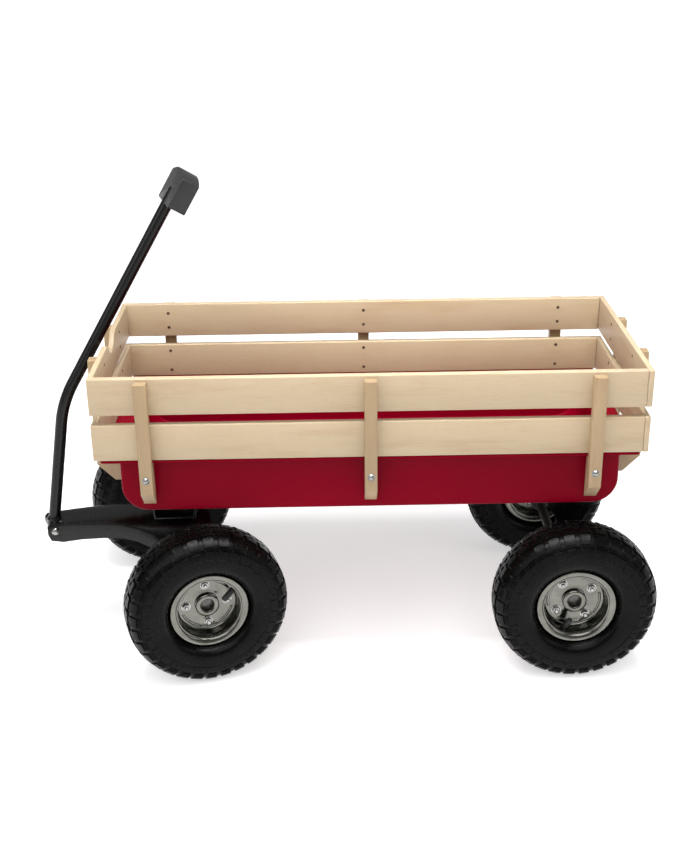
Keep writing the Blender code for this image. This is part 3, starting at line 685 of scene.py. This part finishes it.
def raise_faces(height, bands, parts, every=1):
    """Raises the faces of those bands, counted from the crown, in those parts of a pitch."""

    def chosen(face):
        middle = face.calc_center_median()
        ring = math.hypot(middle.x, middle.y)
        if face.normal.x * middle.x + face.normal.y * middle.y + face.normal.z * middle.z <= 0:
            return False
        if int(part_of(middle)) not in parts:
            return False
        pitch = int(math.atan2(middle.y, middle.x) / math.tau * PITCHES + PITCHES)
        if every > 1 and pitch % every:
            return False
        for band in bands:
            (r0, z0), (r1, z1) = CARCASS[band], CARCASS[band + 1]
            near = math.hypot(ring - (r0 + r1) / 2, abs(middle.z) - (z0 + z1) / 2)
            if near < 0.0016 and near < math.hypot(r1 - r0, z1 - z0) * 0.45 + 0.0004:
                return True
        return False

    pick(tyre, "FACE", chosen)
    bpy.ops.mesh.extrude_region_shrink_fatten(TRANSFORM_OT_shrink_fatten={"value": height})


BLOCK_HEIGHT, LUG_HEIGHT = 0.0027, 0.0022
BAR_HEIGHT, RIB_HEIGHT, PIP_HEIGHT, RING_HEIGHT = 0.0013, 0.0014, 0.0012, 0.0010
LUG_PARTS = (3, 4, 5, 6, 7, 8, 9)
raise_faces(BLOCK_HEIGHT, (0,), (0, 1, 2, 3, 7, 8, 9))
raise_faces(BLOCK_HEIGHT, (2, 3), (2, 3, 4, 5, 6, 7, 8, 9))
raise_faces(LUG_HEIGHT, (5, 6), LUG_PARTS)
for bar in (8, 10, 12):
    raise_faces(BAR_HEIGHT, (bar,), LUG_PARTS)
raise_faces(RIB_HEIGHT, (13, 14, 15), (1,))
raise_faces(PIP_HEIGHT, (14,), (6,), 2)
raise_faces(RING_HEIGHT, (16,), range(PARTS))
bpy.ops.object.mode_set(mode="OBJECT")
ease_edges(tyre, 0.0003, 1, 40)
smooth(tyre, 38)
tread_rubber, shader, place = new_finish("tread_rubber", {"Specular IOR Level": 0.09})
dusty = place.noise(28.0, 4.0, 0.6)
dusty.clear_over(0.45, 0.85).between((0.0008, 0.0008, 0.0007), (0.0040, 0.0038, 0.0036)).into(
    shader, "Base Color"
)
(place.noise(190.0, 3.0) * 0.16 + 0.20).into(shader, "Roughness")
skin = place.noise(1400.0, 2.0) + place.noise(260.0, 2.0) * 0.5
skin.bumped(0.16, 0.0004).into(shader, "Normal")
tube_rubber, shader, place = new_finish("butyl_rubber", {"Specular IOR Level": 0.4})
place.noise(120.0, 2.0).between((0.008, 0.008, 0.008), (0.016, 0.016, 0.016)).into(
    shader, "Base Color"
)
(place.noise(600.0) * 0.15 + 0.38).into(shader, "Roughness")

# Wheels: each rim is two pressed zinc-plated halves, bolted together round a rolled hub
# with four hexagon bolts, with a rubber valve through the outer half.
corners = {}
axles = (("front", FRONT_AXLE_X, STEER_ANGLE), ("rear", REAR_AXLE_X, 0.0))
for corner, axle_x, steer in axles:
    for side, outward in (("left", -1), ("right", 1)):
        frame_turn = Matrix.Rotation(steer, 4, "Z")
        out = Matrix.Translation((0, outward * HALF_TRACK, 0))
        upright = Matrix.Rotation(-outward * math.pi / 2, 4, "X")
        place_at = Matrix.Translation((axle_x, 0, WHEEL_RADIUS))
        corners[f"{corner}_{side}"] = place_at @ frame_turn @ out @ upright
BOLT_TURNS = {"front_left": 2, "front_right": 60, "rear_left": 35, "rear_right": 15}
VALVE_ANGLES = {"front_left": 28, "front_right": 200, "rear_left": 253, "rear_right": 80}
BOLT_CIRCLE = 0.033
RIM_FACE = 0.0025
CRESCENT = (0.0390, 0.0430)
CRESCENT_ANGLES = (20, 70)
NUT_TURN = 0.2
VALVE_ROOT = (0.058, 0.006)
VALVE_TIP = (0.029, 0.022)
VALVE_REACH = 0.010
RIM = (
    (0.0606, 0.0290), (0.0618, 0.0287), (0.0626, 0.0278), (0.0628, 0.0266), (0.0600, 0.0248),
    (0.0535, 0.0232), (0.0512, 0.0180), (0.0500, 0.0130), (0.0500, 0.0002), (0.0180, 0.0002),
    (0.0180, 0.0034), (0.0205, 0.0036), (0.0225, 0.0026), (0.0270, 0.0025), (0.0390, 0.0025),
    (0.0430, 0.0026), (0.0455, 0.0030), (0.0470, 0.0044), (0.0476, 0.0070), (0.0479, 0.0135),
    (0.0492, 0.0220), (0.0505, 0.0244), (0.0522, 0.0250), (0.0530, 0.0262), (0.0545, 0.0272),
    (0.0580, 0.0283),
)
RIM_STEPS = 96
rim = turn_on_lathe("rim_pattern", RIM, RIM_STEPS)


def on_crescent(face):
    """Whether a face lies in one of the four curved ridges pressed into the rim's face."""
    middle = face.calc_center_median()
    ring = math.hypot(middle.x, middle.y)
    quarter = math.degrees(math.atan2(middle.y, middle.x)) % 90
    if abs(middle.z - RIM_FACE) >= 0.0003:
        return False
    return CRESCENT[0] < ring < CRESCENT[1] and CRESCENT_ANGLES[0] < quarter < CRESCENT_ANGLES[1]


pick(rim, "FACE", on_crescent)
bpy.ops.mesh.inset(thickness=0.0006, depth=0)
bpy.ops.transform.translate(value=(0, 0, 0.0014))
bpy.ops.object.mode_set(mode="OBJECT")
ease_edges(rim, 0.0003, 1, 50)
smooth(rim, 35)
HUB = (
    (0.0108, 0.0085), (0.0112, 0.0108), (0.0124, 0.0118), (0.0158, 0.0120), (0.0180, 0.0113),
    (0.0190, 0.0098), (0.0188, 0.0082), (0.0178, 0.0070), (0.0173, 0.0050), (0.0173, -0.0422),
    (0.0165, -0.0430), (0.0092, -0.0430), (0.0084, -0.0422), (0.0084, -0.0005), (0.0108, -0.0005),
)
hub = turn_on_lathe("hub_pattern", HUB, 48)
smooth(hub, 40)
only()
NUT_HEIGHT = 0.0046
bpy.ops.mesh.primitive_cylinder_add(
    vertices=6, radius=0.0062, depth=NUT_HEIGHT, location=(0, 0, NUT_HEIGHT / 2)
)
nut = bpy.context.object
nut.name = "rim_nut"
bpy.ops.object.transform_apply(location=True, rotation=True, scale=True)
ease_edges(nut, 0.0005, 2, 30)
END = [(0.0, 0.0078), (0.0026, 0.0078), (0.0032, 0.0072), (0.0032, 0.0040)]
thread = turn_on_lathe("thread_end", END + [(0.0, 0.0040)], 16, False)
SEAT = [(0.0, 0.0007), (0.0079, 0.0007), (0.0081, 0.0004), (0.0081, 0.0), (0.0, 0.0)]
seat = turn_on_lathe("nut_washer", SEAT, 24, False)
one_bolt = join([thread, seat, nut], "rim_bolt")
smooth(one_bolt, 30)
rim_bolts = []
for quarter in range(4):
    angle = quarter * math.pi / 2
    spot = Vector((math.cos(angle), math.sin(angle), 0)) * BOLT_CIRCLE
    spin = Matrix.Rotation(angle + NUT_TURN, 4, "Z")
    face_out = Vector((0, 0, RIM_FACE))
    over = Matrix.Translation(spot + face_out) @ spin
    under = Matrix.Translation(spot - face_out) @ Matrix.Rotation(math.pi, 4, "X") @ spin
    rim_bolts += [another(one_bolt, "rim_bolt", over), another(one_bolt, "rim_bolt", under)]
rim_bolts = join(rim_bolts, "rim_bolts_pattern")
CAP = [(0.0, 0.0130), (0.0030, 0.0128), (0.0042, 0.0116), (0.0046, 0.0100), (0.0046, 0.0030)]
STEM = [(0.0050, 0.0024), (0.0050, 0.0004), (0.0046, -0.0060), (0.0060, -0.0180), (0.0, -0.0180)]
cap = turn_on_lathe("valve_pattern", CAP + STEM, 20, False)
smooth(cap, 30)

zinc, shader, place = new_finish("zinc_plate", {"Metallic": 1.0, "Specular IOR Level": 0.5})
tone = (place.noise(34.0, 4.0, 0.6) * 0.7 + place.noise(210.0, 2.0) * 0.3).clear_over(0.25, 0.75)
tone.between((0.100, 0.099, 0.087), (0.190, 0.188, 0.168)).into(shader, "Base Color")
(place.noise(150.0, 4.0) * 0.16 + 0.10).into(shader, "Roughness")
(place.noise(30.0, 2.0) * 1.2 + place.noise(700.0, 2.0) * 0.08).bumped(0.12, 0.0006).into(
    shader, "Normal"
)

flip = Matrix.Rotation(math.pi, 4, "X")
for corner, placement in corners.items():
    body = corner + "_wheel"
    turned = placement @ Matrix.Rotation(math.radians(BOLT_TURNS[corner]), 4, "Z")
    treaded = another(tyre, corner + "_tread_tyre", turned)
    dress(treaded, tread_rubber, "tyre_rubber", body, corner + "_tyre")
    half = another(rim, corner + "_outer_pressing", turned)
    dress(half, zinc, "zinc", body, corner + "_rim_outer")
    half = another(rim, corner + "_inner_pressing", turned @ flip)
    dress(half, zinc, "zinc", body, corner + "_rim_inner")
    dress(another(hub, corner + "_rolled_hub", turned), zinc, "zinc", body, corner + "_hub")
    dress(another(rim_bolts, corner + "_rim_bolts", turned), bright_zinc, "chrome", body)
    sign = 1 if corner.endswith("left") else -1
    angle = math.radians(VALVE_ANGLES[corner]) * sign
    across = Vector((math.cos(angle), math.sin(angle), 0))
    root = across * VALVE_ROOT[0] + Vector((0, 0, VALVE_ROOT[1]))
    tip = across * VALVE_TIP[0] + Vector((0, 0, VALVE_TIP[1]))
    along = (tip - root).normalized()
    stem = placement @ facing(along, tip - along * VALVE_REACH)
    dress(another(cap, corner + "_valve", stem), tube_rubber, "tube_rubber", body)
    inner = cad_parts[corner + "_inner_tube"]
    inner.data.materials.clear()
    inner.data.materials.append(tube_rubber)
discard(tyre, rim, hub, one_bolt, rim_bolts, cap)


# Handle: one bent steel tube, welded to a cross sleeve at its foot, in black powder coat,
# with a moulded grip pushed over its top end.
PIVOT = (-0.211, 0.201)
BEND_CORNER = (-0.1757, 0.4154)
BEND_RADIUS = 0.180
TUBE_END = (0.0265, 0.7436)
TUBE_RADIUS = 0.0095
foot, corner_at, tip = (Vector((x, 0, z)) for x, z in (PIVOT, BEND_CORNER, TUBE_END))
first, second = (corner_at - foot).normalized(), (tip - corner_at).normalized()
bend = first.angle(second)
straight = (corner_at - foot).length - BEND_RADIUS * math.tan(bend / 2)
only()
bpy.ops.mesh.primitive_circle_add(
    vertices=40, radius=TUBE_RADIUS, fill_type="NGON", location=foot,
    rotation=first.to_track_quat("Z", "Y").to_euler(),
)
tube = bpy.context.object
tube.name = tube.data.name = "bent_tube"
bpy.ops.object.transform_apply(location=True, rotation=True, scale=True)
bpy.ops.object.mode_set(mode="EDIT")
bpy.ops.mesh.select_mode(type="FACE")
bpy.ops.mesh.select_all(action="SELECT")
bpy.ops.mesh.extrude_region_move(TRANSFORM_OT_translate={"value": first * straight})
inner_side = Vector((first.z, 0, -first.x))
if inner_side.dot(second) < 0:
    inner_side = -inner_side
centre = foot + first * straight + inner_side * BEND_RADIUS
axis = second.cross(first).normalized()
bpy.ops.mesh.spin(steps=24, angle=bend, center=centre, axis=axis)
reach = (tip - corner_at).length - BEND_RADIUS * math.tan(bend / 2)
bpy.ops.mesh.extrude_region_move(TRANSFORM_OT_translate={"value": second * reach})
bpy.ops.object.mode_set(mode="OBJECT")
SLEEVE = [(0.0062, 0.0200), (0.0106, 0.0200), (0.0112, 0.0194), (0.0112, -0.0194)]
SLEEVE += [(0.0106, -0.0200), (0.0062, -0.0200)]
sleeve_pattern = turn_on_lathe("sleeve_pattern", SLEEVE, 36)
sleeve = another(sleeve_pattern, "cross_sleeve", facing((0, 1, 0), foot))
WELD = [(0.0095, 0.0170), (0.0102, 0.0150), (0.0112, 0.0128), (0.0122, 0.0110), (0.0112, 0.0080)]
weld_pattern = turn_on_lathe("weld_pattern", WELD + [(0.0080, 0.0080), (0.0080, 0.0170)], 36)
weld = another(weld_pattern, "weld_bead", facing(first, foot))
discard(sleeve_pattern, weld_pattern)
clean(tube)
smooth(tube, 40)
tube = join([weld, sleeve, tube], "bent_tube")
steered = Matrix.Translation((FRONT_AXLE_X, 0, 0)) @ Matrix.Rotation(STEER_ANGLE, 4, "Z")
tube.matrix_world = steered
only(tube)
bpy.ops.object.transform_apply(location=True, rotation=True, scale=True)
smooth(tube, 40)
dress(tube, black_coat, "black_paint", "handle", "handle_tube")

grip = from_cad("handle_grip", "moulded_grip")
smooth(grip, 28)
moulded, shader, place = new_finish("moulded_grip_plastic", {"Specular IOR Level": 0.45})
place.noise(20.0, 3.0).between((0.0085, 0.0085, 0.0088), (0.0140, 0.0140, 0.0140)).into(
    shader, "Base Color"
)
(place.noise(300.0, 3.0) * 0.18 + 0.26).into(shader, "Roughness")
pebble = place.make("ShaderNodeTexVoronoi", {"Vector": place, "Scale": 900.0}, output="Distance")
(pebble + place.noise(1500.0) * 0.4).bumped(0.10, 0.0003).into(shader, "Normal")
dress(grip, moulded, "grip_plastic", "handle", "handle_grip")


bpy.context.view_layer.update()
